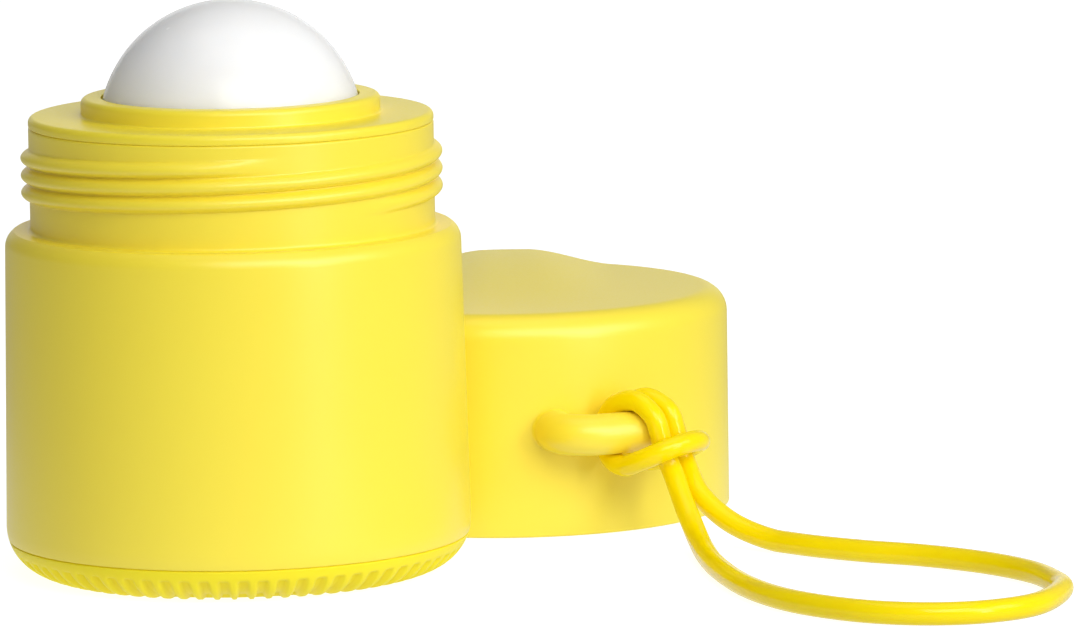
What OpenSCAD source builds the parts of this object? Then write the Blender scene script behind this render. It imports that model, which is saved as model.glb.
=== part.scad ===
// Refillable roll-on sunscreen applicator, shown with its screw cap taken off.
// Origin: centre of the foot on the surface it stands on. +Z up along the bottle's axis.

/* [Bottle body] */
// Outer radius of the body just above its rounded foot
body_r = 30.9; // [28.4:0.1:36]
// How much narrower the body is under its shoulder, the moulding draft
body_draft = 0.7; // [0:0.1:1.2]
// Height of the flat ledge on the shoulder
ledge_z = 45.9; // [40:0.1:80]
// Radius of the rounded shoulder edge
shoulder_round = 2.5; // [1.6:0.1:5]
// Wall thickness of the body
body_wall = 2; // [1.2:0.1:2.6]

/* [Neck] */
// How far the body's shoulder stands out past the neck
shoulder_w = 3.4; // [3:0.1:4.4]
// Height of the neck above the ledge
neck_h = 13.7; // [13.2:0.1:16.6]
// Wall thickness of the neck
neck_wall = 2; // [1.4:0.1:2.4]

/* [Neck thread] */
// Rise of the thread in one turn
thread_lead = 4.6; // [3.6:0.1:5]
// Number of thread starts
thread_starts = 2; // [1:1:2]
// How far the rounded thread ridge stands out of the neck
thread_h = 1.1; // [0.6:0.1:1.2]
// Width of the thread ridge on the neck
thread_w = 2; // [1.2:0.1:2.2]
// Angle that each start runs through, in degrees
thread_sweep = 520; // [360:10:560]
// Distance from the neck's top down to the first ridge's middle
thread_top_gap = 2.7; // [2:0.1:3.4]
// Direction in which the first start begins, in degrees from +X
thread_from = -75; // [-180:5:180]
// Clearance between the neck's thread and the cap's thread
thread_gap = 0.3; // [0.2:0.05:0.4]

/* [Ball and housing] */
// Radius of the ball
ball_r = 17.5; // [15:0.1:18]
// Running clearance between the ball and its socket
ball_gap = 0.25; // [0.15:0.05:0.4]
// Depth of the ball's centre below the collar's top
ball_sink = 4.9; // [4:0.1:6]
// Thickness of the flange on the neck
flange_t = 1.4; // [1:0.1:2.2]
// Outer radius of the raised collar
collar_r = 19.8; // [19.6:0.1:21.5]
// Height of the collar above the flange
collar_h = 2.4; // [1.6:0.1:3.4]
// Radius of the rounded edges of the collar and the flange
housing_round = 0.9; // [0.4:0.1:1]
// Wall thickness of the ball socket
socket_wall = 1.5; // [1.1:0.1:1.8]
// Length of the spigot that presses into the neck
spigot_h = 8; // [5:0.5:11]
// Wall thickness of that spigot
spigot_wall = 1.4; // [1:0.1:2]
// Clearance between the spigot and the neck's bore
spigot_gap = 0.05; // [0:0.05:0.2]
// Radius of the feed hole under the ball
feed_r = 4; // [2.4:0.1:6]
// Number of small feed holes round it
feed_count = 6; // [3:1:8]
// Radius of a small feed hole
feed_small_r = 1.4; // [0.8:0.1:1.8]

/* [Ribbed base] */
// Height of the seam between the base and the body
seam_z = 4.4; // [4:0.1:5.4]
// Radius of the big rounding at the foot
foot_round = 6.5; // [6:0.1:7.5]
// Height of the open seam line
seam_gap = 0.35; // [0.2:0.05:0.5]
// Depth of the open seam line
seam_depth = 0.8; // [0.5:0.1:1]
// Number of grip ribs
rib_count = 72; // [40:4:84]
// Width of the groove between two ribs
rib_groove_w = 1.2; // [0.8:0.1:1.4]
// Depth of the groove between two ribs
rib_groove_d = 0.75; // [0.4:0.05:0.9]
// Thickness of the base's floor
base_floor = 1.8; // [1.2:0.1:2.4]
// Height of the recess under the base
foot_recess = 0.8; // [0.4:0.1:1.2]
// Width of the flat foot ring
foot_ring_w = 4.5; // [3:0.1:8]
// Height of the base's spigot above the seam
plug_h = 7.5; // [6:0.1:10]
// Wall thickness of that spigot
plug_wall = 3; // [2.8:0.1:3.8]
// Clearance between that spigot and the body's bore
plug_gap = 0.3; // [0.2:0.05:0.5]
// Thickness of the body's wall at its lower rim
rim_wall = 3.3; // [2.9:0.1:3.6]

/* [Seals] */
// Radius of the base seal's round section
seal_r = 0.8; // [0.6:0.05:1]
// Clearance round the base seal in its groove
seal_gap = 0.25; // [0.2:0.05:0.3]
// Height of the seal's middle above the seam
seal_up = 1.6; // [1.4:0.1:2.6]
// Thickness of the cap's gasket
gasket_t = 1.2; // [0.8:0.1:1.6]
// Width of the cap's gasket
gasket_w = 2.4; // [1.6:0.1:3]

/* [Cap] */
// Wall thickness of the cap
cap_wall = 2; // [1.4:0.1:3]
// Height of the cap at its low side
cap_h = 30.3; // [29:0.1:40]
// Radius of the rounding at the cap's top edge
cap_round = 3.5; // [2:0.1:4.5]
// Height of the soft wave on the cap's top
wave_h = 1.8; // [0:0.1:3]
// Thickness of the cap's roof at its low side
roof_t = 1.4; // [1:0.1:2]
// Direction in which the cap stands beside the bottle, in degrees from +X
cap_bearing = 51.1; // [44:0.1:62]
// Gap between the standing cap and the bottle
cap_gap = 0.56; // [0.4:0.02:6]

/* [Bail] */
// Thickness of the bail's round bar
bail_d = 5.6; // [4:0.1:6]
// Gap between the bail's bar and the cap's wall
bail_gap = 3.2; // [3.2:0.1:4]
// Height of the bail's middle on the cap
bail_z = 14.7; // [12:0.1:18]
// Direction of the bail's left leg, in degrees from the cap's front
bail_from = 8.5; // [6:0.5:10]
// Direction of the bail's right leg, in degrees from the cap's front
bail_to = 33; // [32:0.5:36]
// Bend radius of the bail's corners, on the bar's middle
bail_bend = 4; // [3.2:0.1:4.2]

/* [Wrist loop] */
// Thickness of the silicone cord
cord_d = 3; // [2:0.1:3]

/* [Hidden] */
$fn = 96;
// Points on each quarter of a rounded edge
edge_steps = 7;
// Overlap where two solids of one piece are joined
join = 0.4;
// Small chamfer that opens the seam under the flange
seam_chamfer = 0.25;

// Neck, and the bore and outer radius of the cap that screws over it
shoulder_r = body_r - body_draft;
neck_r = shoulder_r - shoulder_w;
cap_bore_r = neck_r + thread_h + thread_gap;
cap_r = cap_bore_r + cap_wall;
// Outer radius of the flat ledge, which reaches out past the cap's bore
ledge_out = 0.8;
ledge_r = cap_bore_r + ledge_out;

// Place of the standing cap's axis
cap_away = body_r + cap_r + cap_gap;
cap_x = cap_away * cos(cap_bearing);
cap_y = cap_away * sin(cap_bearing);

// Foot and seam, worked out from the body
foot_r = body_r - foot_round;
rim_z = seam_z + seam_gap;
function foot_profile_r(z) = foot_r + sqrt(foot_round * foot_round - pow(foot_round - z, 2));
function foot_angle(z) = asin((foot_round - z) / foot_round);

// Shoulder and neck
shoulder_cr = shoulder_r - shoulder_round;
shoulder_top_angle = acos((ledge_r - shoulder_cr) / shoulder_round);
shoulder_cz = ledge_z - shoulder_round * sin(shoulder_top_angle);
neck_top = ledge_z + neck_h;
// Gap over the ledge at which the cap's rim stops when the cap is screwed on
cap_stop = 0.3;
cap_seat_z = ledge_z + cap_stop;
neck_bore_r = neck_r - neck_wall;
body_bore_r = shoulder_r - body_wall;

// Ball housing
flange_top = neck_top + flange_t;
collar_top = flange_top + collar_h;
ball_z = collar_top - ball_sink;
ball_top = ball_z + ball_r;
socket_r = ball_r + ball_gap;
cup_r = socket_r + socket_wall;
spigot_r = neck_bore_r - spigot_gap;
// Web between the feed hole and the small feed holes, and the ring on which these lie
feed_web = 2;
feed_ring_r = feed_r + feed_small_r + feed_web;

// Base, its spigot and its seal
plug_bore_r = body_r - rim_wall;
plug_r = plug_bore_r - plug_gap;
plug_in_r = plug_r - plug_wall;
plug_top = rim_z + plug_h;
seal_mid_r = plug_bore_r - seal_gap - seal_r;
seal_z = rim_z + seal_up;
// Plain band between the seam and the rib grooves
rib_band = 1.1;
rib_top_z = seam_z - rib_band;
// How far the rib grooves run in under the foot, in degrees past its lowest line
rib_under = 7;

// Cap
roof_z = cap_h - roof_t;
// Thickness of the crown's edge below its rounding
crown_edge = 0.6;
crown_z = cap_h - cap_round - crown_edge;
// Soft wave on the cap's top: where it starts and ends behind the cap's axis, its middle line,
// half its width, and the share of that which is level
wave_front = -24;
wave_back = 22;
wave_mid_x = 0.8;
wave_half_w = 14.5;
wave_flat = 0.2;
// Step between the crown's many-sided edge and the round wall
crown_step = 0.03;
crown_sides = 96;
// Skirt inside the roof, which clears the collar and holds the gasket
skirt_wall = 0.4;
skirt_gap = 0.4;
skirt_in_r = collar_r + skirt_gap;
skirt_out_r = skirt_in_r + gasket_w + 2 * skirt_wall;
// Underside of the gasket when the cap stands on its rim, so that it seals on the flange
gasket_z = flange_top - cap_seat_z;
// How far the gasket sits in its groove, and its clearance at each side
gasket_seat = 0.5;
gasket_side = 0.05;
skirt_z = gasket_z + gasket_t - gasket_seat;

// Bail
bail_r = cap_r + bail_gap + bail_d / 2;
bail_corner_r = bail_r - bail_bend;
bail_corner_angle = asin(bail_bend / bail_corner_r);

// Route of the cord's middle line, from the cap's axis on the surface
cord_route = [
    // Up from the bail's eye, over the bar and down in front of it
    [13.5, -28.7, 15], [14.8, -29.3, 17.7], [17.7, -31.3, 19.2], [20.3, -32.9, 17.5],
    [21.3, -33.4, 15.2], [21.9, -33.8, 12.9], [23.4, -34.5, 10.4],
    // Down to the surface, along the far run and round the loop's end
    [24.7, -37.6, 6.8], [27.7, -41.2, 3.6], [32.6, -45.6, 1.6], [37.9, -51, 1.5], [44.2, -55.9, 1.5],
    [51.6, -60.4, 1.5], [58.9, -67, 1.5], [64, -74.6, 1.5], [66.6, -82, 1.5],
    [67, -88.5, 1.5], [62.6, -98.6, 1.5], [55.9, -103.4, 1.5],
    // Back along the near run and up to the hitch
    [48.6, -104.4, 1.5], [41.2, -101.9, 1.5], [34.8, -96.7, 1.5], [29.8, -89.6, 1.5],
    [26.1, -79.4, 1.5], [23.9, -66.8, 1.5], [23, -56, 1.6], [22.5, -46.8, 2.4],
    [21.6, -40.6, 5.6], [20.3, -36.7, 9.6], [19.3, -35.9, 12.4],
    // Over the bar beside the first strand, down through the eye and under the bar
    [18.8, -36, 14.6], [17.8, -35.3, 17.3], [15.1, -33.4, 19.2], [12.1, -30.9, 17.9],
    [10.7, -29.9, 14.7], [10.7, -31.6, 11.5], [12.3, -34.7, 10.1],
    // The band in front of both strands, back under the bail's corner and up into the eye
    [14.5, -37.1, 10.8], [17.8, -38.8, 12.4], [20.9, -38.8, 13.7], [23.4, -36.9, 14.1],
    [25, -33.8, 13.7], [24.1, -30.7, 12.5], [21.4, -28.4, 10.9], [17.9, -27.8, 10],
    [14.9, -28.2, 10.7], [13.7, -28.7, 12.8], [13.5, -28.7, 14.5]];
// Last point of the first tight stretch of the route, and first point of the second
hitch_out = 7;
hitch_in = 27;

// Point half-way along a stretch of a smooth line through points p
function halfway(p, i) =
    (9 * (p[i] + p[i + 1]) - p[max(i - 1, 0)] - p[min(i + 2, len(p) - 1)]) / 16;

// Two rings on each stretch where the cord turns tightly, one on the long run
cord_line = [for (i = [0:len(cord_route) - 1])
    each (i < hitch_out || i >= hitch_in) && i < len(cord_route) - 1
        ? [cord_route[i], halfway(cord_route, i)] : [cord_route[i]]];

// Points of an arc, from one angle to another
function arc(cx, cy, r, from, to, steps) =
    [for (i = [0:steps]) let (a = from + (to - from) * i / steps) [cx + r * cos(a), cy + r * sin(a)]];

// Smooth rise from 0 to 1
function smooth(t) = let (u = min(max(t, 0), 1)) u * u * (3 - 2 * u);

// Triangles between two neighbouring rings of n points that start at point a and at point b
function band(a, b, n) = [for (i = [0:n - 1]) let (j = (i + 1) % n)
    each [[a + i, a + j, b + j], [a + i, b + j, b + i]]];

// Triangles that close a ring of n points that starts at point a
function lid(a, n, up) = [for (i = [1:n - 2]) up ? [a, a + i, a + i + 1] : [a, a + i + 1, a + i]];

function unit(v) = v / norm(v);

// Directions along a line of points
function directions(p) = let (n = len(p) - 1)
    [for (i = [0:n]) unit(p[min(i + 1, n)] - p[max(i - 1, 0)])];

// Side vectors carried along a line without twist, from the first side vector
function carried(t, side, i = 0) = i >= len(t) ? []
    : let (s = unit(side - (side * t[i]) * t[i])) concat([s], carried(t, s, i + 1));

// Round tube of a given radius along a line of points
module tube(line, r, sides) {
    t = directions(line);
    s = carried(t, abs(t[0].z) > 0.9 ? [1, 0, 0] : [0, 0, 1]);
    points = [for (i = [0:len(line) - 1]) for (k = [0:sides - 1])
        let (a = k * 360 / sides, u = cross(t[i], s[i])) line[i] + r * (cos(a) * s[i] + sin(a) * u)];
    last = (len(line) - 1) * sides;
    faces = concat([for (i = [0:len(line) - 2]) each band((i + 1) * sides, i * sides, sides)],
        lid(0, sides, true), lid(last, sides, false));
    polyhedron(points, faces);
}

// Rounded section of a thread ridge: distance out of the wall, and height
function ridge_section(h, w) = [[-join, -w / 2], [h * 0.45, -w * 0.4], [h * 0.93, -w * 0.19],
    [h, 0], [h * 0.93, w * 0.19], [h * 0.45, w * 0.4], [-join, w / 2]];

// One start of a right-handed thread ridge that fades in and out
module thread_start(r, h, w, lead, sweep, z_top, from) {
    steps = ceil(sweep / 8);
    fade = 5;
    count = len(ridge_section(h, w));
    points = [for (i = [0:steps])
        let (a = from - sweep * i / steps)
        let (z = z_top - lead * sweep / 360 * i / steps)
        let (f = 0.15 + 0.85 * smooth(min(i, steps - i) / fade))
        for (p = ridge_section(h * f, w))
            [(r + p.x) * cos(a), (r + p.x) * sin(a), z + p.y]];
    faces = concat([for (i = [0:steps - 1]) each band((i + 1) * count, i * count, count)],
        lid(0, count, true), lid(steps * count, count, false));
    polyhedron(points, faces);
}

// Bottle body: foot rim, wall, shoulder, ledge and threaded neck, moulded in one
module body_shell() {
    color("#f5e04a") {
        rotate_extrude() polygon(concat(
            [[plug_bore_r, rim_z]],
            arc(foot_r, foot_round, foot_round, -foot_angle(rim_z), 0, 4),
            arc(shoulder_cr, shoulder_cz, shoulder_round, 0, shoulder_top_angle, edge_steps),
            [[neck_r, ledge_z], [neck_r, neck_top - seam_chamfer], [neck_r - seam_chamfer, neck_top],
            [neck_bore_r, neck_top], [neck_bore_r, ledge_z - body_wall],
            [body_bore_r, ledge_z - body_wall - (body_bore_r - neck_bore_r)],
            [body_bore_r, plug_top + 2], [plug_bore_r, plug_top + 1]]));
        for (i = [0:thread_starts - 1])
            thread_start(neck_r, thread_h, thread_w, thread_lead, thread_sweep,
                neck_top - thread_top_gap, thread_from - i * 360 / thread_starts);
    }
}

// Ball housing: flange, collar, socket with its feed holes, and the spigot in the neck
module ball_housing() {
    color("#f7e23e") difference() {
        rotate_extrude() difference() {
            polygon(concat(
                arc(0, ball_z, cup_r, -90, 0, 12),
                [[cup_r, neck_top], [spigot_r - spigot_wall, neck_top],
                [spigot_r - spigot_wall, neck_top - spigot_h], [spigot_r, neck_top - spigot_h],
                [spigot_r, neck_top], [neck_r, neck_top]],
                arc(neck_r - housing_round, flange_top - housing_round, housing_round, 0, 90, 5),
                [[collar_r, flange_top]],
                arc(collar_r - housing_round, collar_top - housing_round, housing_round, 0, 90, 5),
                [[0, collar_top]]));
            translate([0, ball_z]) circle(socket_r);
        }
        translate([0, 0, ball_z - cup_r - 1]) cylinder(r = feed_r, h = cup_r);
        for (i = [0:feed_count - 1])
            rotate([0, 0, i * 360 / feed_count])
                translate([feed_ring_r, 0, ball_z - cup_r - 1]) cylinder(r = feed_small_r, h = cup_r);
    }
}

module applicator_ball() {
    color("#f7f7f7") translate([0, 0, ball_z]) sphere(ball_r);
}

// Cutter for one groove between two ribs, as deep all along the rounded foot
module rib_groove() {
    from = -foot_angle(rib_top_z);
    to = -90 - rib_under;
    translate([0, rib_groove_w / 2, 0]) rotate([90, 0, 0]) linear_extrude(rib_groove_w)
        polygon(concat(
            arc(foot_r, foot_round, foot_round - rib_groove_d, from, to, 5),
            arc(foot_r, foot_round, foot_round + 1, to, from, 5)));
}

// Ribbed base that screws up into the body
module base_plug() {
    groove_half = seal_r + seal_gap;
    color("#f7d800") difference() {
        rotate_extrude() polygon(concat(
            [[0, foot_recess], [foot_r - foot_ring_w - foot_recess, foot_recess], [foot_r - foot_ring_w, 0]],
            arc(foot_r, foot_round, foot_round, -90, -foot_angle(seam_z), 8),
            [[foot_profile_r(seam_z) - seam_depth, seam_z], [foot_profile_r(seam_z) - seam_depth, rim_z],
            [plug_r, rim_z], [plug_r, seal_z - groove_half],
            [seal_mid_r - groove_half, seal_z - groove_half],
            [seal_mid_r - groove_half, seal_z + groove_half], [plug_r, seal_z + groove_half],
            [plug_r, plug_top - join], [plug_r - join, plug_top], [plug_in_r, plug_top],
            [plug_in_r, foot_recess + base_floor], [0, foot_recess + base_floor]]));
        for (i = [0:rib_count - 1])
            rotate([0, 0, i * 360 / rib_count]) rib_groove();
    }
}

module base_seal() {
    color("#8a8a86") rotate_extrude() translate([seal_mid_r, seal_z]) circle(seal_r);
}

// Height of the soft wave over the cap's low side: a tongue that rises towards the back
function wave(x, y) = wave_h * smooth((y - wave_front) / (wave_back - wave_front))
    * smooth((1 - abs(x - wave_mid_x) / wave_half_w) / (1 - wave_flat));

// One point of the crown: s runs from the middle to the flat's edge, then round the edge to the wall
function crown_point(s, a) = let (edge = cap_r + crown_step - cap_round, out = max(s - 1, 0) * 90,
    r = min(s, 1) * edge + cap_round * sin(out), low = cap_h - cap_round,
    x = r * cos(a), y = r * sin(a),
    high = cap_h + wave(min(s, 1) * edge * cos(a), min(s, 1) * edge * sin(a)))
    [x, y, low + (high - low) * cos(out)];

// Top of the cap: a low wave with a rounded edge
module crown() {
    n = crown_sides;
    stops = [0.12, 0.25, 0.38, 0.5, 0.62, 0.74, 0.86, 1, 1.17, 1.33, 1.5, 1.67, 1.83, 2];
    rings = len(stops);
    points = concat([for (s = stops) for (i = [0:n - 1]) crown_point(s, i * 360 / n)],
        [for (i = [0:n - 1]) let (p = crown_point(2, i * 360 / n)) [p.x, p.y, crown_z]],
        [crown_point(0, 0), [0, 0, crown_z]]);
    top = (rings + 1) * n;
    faces = concat([for (k = [0:rings - 1]) each band(k * n, (k + 1) * n, n)],
        [for (i = [0:n - 1]) [top, (i + 1) % n, i]],
        [for (i = [0:n - 1]) [top + 1, rings * n + i, rings * n + (i + 1) % n]]);
    polyhedron(points, faces);
}

// Middle line of the bail: out of the wall, round a corner, along the wall and back
bail_left = bail_from + bail_corner_angle - 90;
bail_right = bail_to - bail_corner_angle - 90;
bail_line = concat(
    [[(cap_r - 1) * cos(bail_from - 90), (cap_r - 1) * sin(bail_from - 90)]],
    arc(bail_corner_r * cos(bail_left), bail_corner_r * sin(bail_left), bail_bend,
        bail_from - 180, bail_left, 6),
    arc(0, 0, bail_r, bail_left + 2, bail_right - 2, 3),
    arc(bail_corner_r * cos(bail_right), bail_corner_r * sin(bail_right), bail_bend,
        bail_right, bail_to, 6),
    [[(cap_r - 1) * cos(bail_to - 90), (cap_r - 1) * sin(bail_to - 90)]]);

// Bail: a round bar, moulded with the cap, that holds the loop
module bail() {
    tube([for (p = bail_line) [p.x, p.y, bail_z]], bail_d / 2, 16);
}

// Screw cap, stood on its rim beside the bottle
module cap_shell() {
    color("#f6e14c") translate([cap_x, cap_y, 0]) {
        difference() {
            union() {
                cylinder(r = cap_r, h = crown_z);
                crown();
            }
            translate([0, 0, -1]) cylinder(r = cap_bore_r, h = roof_z + 1);
            translate([0, 0, ball_top - cap_seat_z + ball_gap - socket_r]) sphere(socket_r);
        }
        rotate_extrude() polygon([[skirt_in_r, skirt_z], [skirt_in_r + skirt_wall - gasket_side, skirt_z],
            [skirt_in_r + skirt_wall - gasket_side, skirt_z + gasket_seat],
            [skirt_out_r - skirt_wall + gasket_side, skirt_z + gasket_seat],
            [skirt_out_r - skirt_wall + gasket_side, skirt_z], [skirt_out_r, skirt_z],
            [skirt_out_r, roof_z + join], [skirt_in_r, roof_z + join]]);
        bail();
    }
}

module cap_gasket() {
    color("#8f8f8a") translate([cap_x, cap_y, gasket_z]) difference() {
        cylinder(r = skirt_out_r - skirt_wall, h = gasket_t);
        translate([0, 0, -1]) cylinder(r = skirt_in_r + skirt_wall, h = gasket_t + 2);
    }
}

// Wrist loop: one cord, hitched round the bail, laid on the surface in front and back into its hitch
module wrist_loop() {
    color("#ffdc00") translate([cap_x, cap_y, 0]) tube(cord_line, cord_d / 2, 8);
}

body_shell();
ball_housing();
applicator_ball();
base_plug();
base_seal();
cap_shell();
cap_gasket();
wrist_loop();
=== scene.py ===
"""Roll-on sunscreen applicator, its screw cap taken off, with a silicone wrist loop.

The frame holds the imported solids. Each class below builds one sub-assembly at its full finish, in
the place that the frame gives it, and main() makes them in order, sets the studio and reports each
piece. Lengths are in millimetres until a mesh is made, and in metres after that.
"""

import logging
import math
from dataclasses import dataclass
from enum import Enum

import bpy
import numpy as np
from mathutils import Matrix, Vector


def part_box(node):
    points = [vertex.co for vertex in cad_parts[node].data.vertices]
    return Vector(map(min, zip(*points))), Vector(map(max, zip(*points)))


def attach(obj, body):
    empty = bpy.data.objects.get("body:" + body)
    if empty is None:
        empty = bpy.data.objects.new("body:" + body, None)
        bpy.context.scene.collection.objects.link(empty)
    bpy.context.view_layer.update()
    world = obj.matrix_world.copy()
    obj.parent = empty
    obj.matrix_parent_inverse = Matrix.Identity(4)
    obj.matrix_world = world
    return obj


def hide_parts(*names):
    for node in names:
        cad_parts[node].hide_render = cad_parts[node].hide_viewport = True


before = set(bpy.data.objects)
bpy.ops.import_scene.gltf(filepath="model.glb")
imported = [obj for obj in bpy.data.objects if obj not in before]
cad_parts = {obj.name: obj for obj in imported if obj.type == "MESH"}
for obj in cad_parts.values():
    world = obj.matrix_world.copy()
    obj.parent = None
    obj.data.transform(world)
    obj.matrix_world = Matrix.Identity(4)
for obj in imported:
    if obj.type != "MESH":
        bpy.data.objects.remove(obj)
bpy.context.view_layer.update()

MM = 0.001
WHITE = (1, 1, 1, 1)
TURN = 2 * math.pi
LOG = logging.getLogger("applicator")

Corner = tuple[float, float, float]
Outline = list[tuple[float, float]]


class Body(Enum):
    """The rigid bodies of the frame that a piece can ride on."""

    BASE = "base"
    SEAL = "seal"
    BOTTLE = "bottle"
    BALL = "ball"


def linear(colour: str) -> tuple[float, float, float, float]:
    """Turns an sRGB hex colour into linear light.

    Args:
        colour: Six hex digits, with or without a leading hash.

    Returns:
        Red, green, blue and an alpha of 1.
    """
    digits = colour.lstrip("#")
    shares = [int(digits[i:i + 2], 16) / 255 for i in (0, 2, 4)]
    light = [s / 12.92 if s <= 0.04045 else ((s + 0.055) / 1.055) ** 2.4 for s in shares]
    return (*light, 1.0)


def add_node(tree: bpy.types.NodeTree, kind: str, inputs: dict | None = None,
             output: int | str = 0, **settings) -> bpy.types.NodeSocket:
    """Adds one node with its settings and links.

    Args:
        tree: The tree that takes the node.
        kind: The node's type.
        inputs: Values or sockets for its inputs, by name or index.
        output: Which of its outputs is wanted, by name or index.
        **settings: The node's own properties.

    Returns:
        The wanted output socket, or the node itself where it has no output.
    """
    node = tree.nodes.new(kind)
    for name, value in settings.items():
        setattr(node, name, value)
    for key, value in (inputs or {}).items():
        if isinstance(value, bpy.types.NodeSocket):
            tree.links.new(value, node.inputs[key])
        else:
            node.inputs[key].default_value = value
    return node.outputs[output] if len(node.outputs) else node


def new_material(name: str) -> tuple[bpy.types.Material, bpy.types.NodeTree]:
    """Makes an empty node material.

    Args:
        name: The material's name.

    Returns:
        The material and its node tree.
    """
    material = bpy.data.materials.new(name)
    material.use_nodes = True
    material.node_tree.nodes.clear()
    return material, material.node_tree


@dataclass(frozen=True)
class MouldedPolypropylene:
    """Polypropylene from a spark-eroded mould: an even fine matte with a soft broad gloss.

    The pigment is a little deeper where the melt flowed last, and the grain breaks up the gloss.
    """

    name: str
    pigment: str
    deep_pigment: str
    roughness: float = 0.36
    roughness_spread: float = 0.04
    flow_mm: float = 26.0
    grain_mm: float = 0.34
    grain_depth_mm: float = 0.006
    glow: float = 0.1
    glow_mm: float = 1.2
    gloss: float = 0.7

    def build(self) -> bpy.types.Material:
        """Returns the material."""
        material, tree = new_material(self.name)
        place = add_node(tree, "ShaderNodeTexCoord", output="Object")
        flow = add_node(tree, "ShaderNodeTexNoise", {
            "Vector": place, "Scale": 1 / (self.flow_mm * MM), "Detail": 3.0, "Roughness": 0.55})
        pigment = add_node(tree, "ShaderNodeMix", {
            "Factor": flow, 6: linear(self.pigment), 7: linear(self.deep_pigment)},
            output=2, data_type="RGBA")
        grain = add_node(tree, "ShaderNodeTexNoise", {
            "Vector": place, "Scale": 1 / (self.grain_mm * MM), "Detail": 2.0, "Roughness": 0.6})
        rough = add_node(tree, "ShaderNodeMapRange", {
            "Value": grain, "From Min": 0.3, "From Max": 0.7,
            "To Min": self.roughness - self.roughness_spread,
            "To Max": self.roughness + self.roughness_spread})
        bump = add_node(tree, "ShaderNodeBump", {
            "Height": grain, "Strength": 1.0, "Distance": self.grain_depth_mm * MM})
        shader = add_node(tree, "ShaderNodeBsdfPrincipled", {
            "Base Color": pigment, "Roughness": rough, "Normal": bump, "IOR": 1.49,
            "Specular IOR Level": self.gloss, "Subsurface Weight": self.glow,
            "Subsurface Radius": (1.0, 0.85, 0.2), "Subsurface Scale": self.glow_mm * MM})
        add_node(tree, "ShaderNodeOutputMaterial", {"Surface": shader})
        return material


@dataclass(frozen=True)
class CastSilicone:
    """Silicone rubber from a polished mould: deep even colour and small sharp highlights."""

    name: str
    pigment: str
    deep_pigment: str
    roughness: float = 0.16
    ripple_mm: float = 3.2
    ripple_depth_mm: float = 0.02
    gloss: float = 0.5
    glow: float = 0.3
    glow_mm: float = 1.5

    def build(self) -> bpy.types.Material:
        """Returns the material."""
        material, tree = new_material(self.name)
        place = add_node(tree, "ShaderNodeTexCoord", output="Object")
        ripple = add_node(tree, "ShaderNodeTexNoise", {
            "Vector": place, "Scale": 1 / (self.ripple_mm * MM), "Detail": 2.0})
        pigment = add_node(tree, "ShaderNodeMix", {
            "Factor": ripple, 6: linear(self.pigment), 7: linear(self.deep_pigment)},
            output=2, data_type="RGBA")
        rough = add_node(tree, "ShaderNodeMapRange", {
            "Value": ripple, "From Min": 0.3, "From Max": 0.7,
            "To Min": self.roughness * 0.8, "To Max": self.roughness * 1.25})
        bump = add_node(tree, "ShaderNodeBump", {
            "Height": ripple, "Strength": 1.0, "Distance": self.ripple_depth_mm * MM})
        shader = add_node(tree, "ShaderNodeBsdfPrincipled", {
            "Base Color": pigment, "Roughness": rough, "Normal": bump, "IOR": 1.41,
            "Specular IOR Level": self.gloss,
            "Subsurface Weight": self.glow, "Subsurface Radius": (1.0, 0.85, 0.1),
            "Subsurface Scale": self.glow_mm * MM})
        add_node(tree, "ShaderNodeOutputMaterial", {"Surface": shader})
        return material


@dataclass(frozen=True)
class PolishedBallPlastic:
    """Tumble-polished white polypropylene: smooth and glossy, with light under its surface."""

    name: str = "white_polypropylene_ball"
    pigment: str = "#FCFCFB"
    deep_pigment: str = "#F8F8F6"
    roughness: float = 0.24
    cloud_mm: float = 9.0

    def build(self) -> bpy.types.Material:
        """Returns the material."""
        material, tree = new_material(self.name)
        place = add_node(tree, "ShaderNodeTexCoord", output="Object")
        cloud = add_node(tree, "ShaderNodeTexNoise", {
            "Vector": place, "Scale": 1 / (self.cloud_mm * MM), "Detail": 3.0})
        pigment = add_node(tree, "ShaderNodeMix", {
            "Factor": cloud, 6: linear(self.pigment), 7: linear(self.deep_pigment)},
            output=2, data_type="RGBA")
        rough = add_node(tree, "ShaderNodeMapRange", {
            "Value": cloud, "From Min": 0.3, "From Max": 0.7,
            "To Min": self.roughness * 0.85, "To Max": self.roughness * 1.15})
        shader = add_node(tree, "ShaderNodeBsdfPrincipled", {
            "Base Color": pigment, "Roughness": rough, "IOR": 1.49,
            "Subsurface Weight": 0.6, "Subsurface Radius": (1.0, 0.95, 0.9),
            "Subsurface Scale": 0.004})
        add_node(tree, "ShaderNodeOutputMaterial", {"Surface": shader})
        return material


@dataclass(frozen=True)
class FoamedLiner:
    """Foamed polyethylene sheet: pale grey and dull, with closed cells that pit its face."""

    name: str = "foamed_polyethylene_liner"
    pigment: str = "#D9D9D4"
    cell_mm: float = 0.35
    cell_depth_mm: float = 0.05

    def build(self) -> bpy.types.Material:
        """Returns the material."""
        material, tree = new_material(self.name)
        place = add_node(tree, "ShaderNodeTexCoord", output="Object")
        cells = add_node(tree, "ShaderNodeTexVoronoi", {
            "Vector": place, "Scale": 1 / (self.cell_mm * MM)})
        bump = add_node(tree, "ShaderNodeBump", {
            "Height": cells, "Strength": 1.0, "Distance": self.cell_depth_mm * MM})
        shader = add_node(tree, "ShaderNodeBsdfPrincipled", {
            "Base Color": linear(self.pigment), "Roughness": 0.75, "Normal": bump})
        add_node(tree, "ShaderNodeOutputMaterial", {"Surface": shader})
        return material


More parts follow.
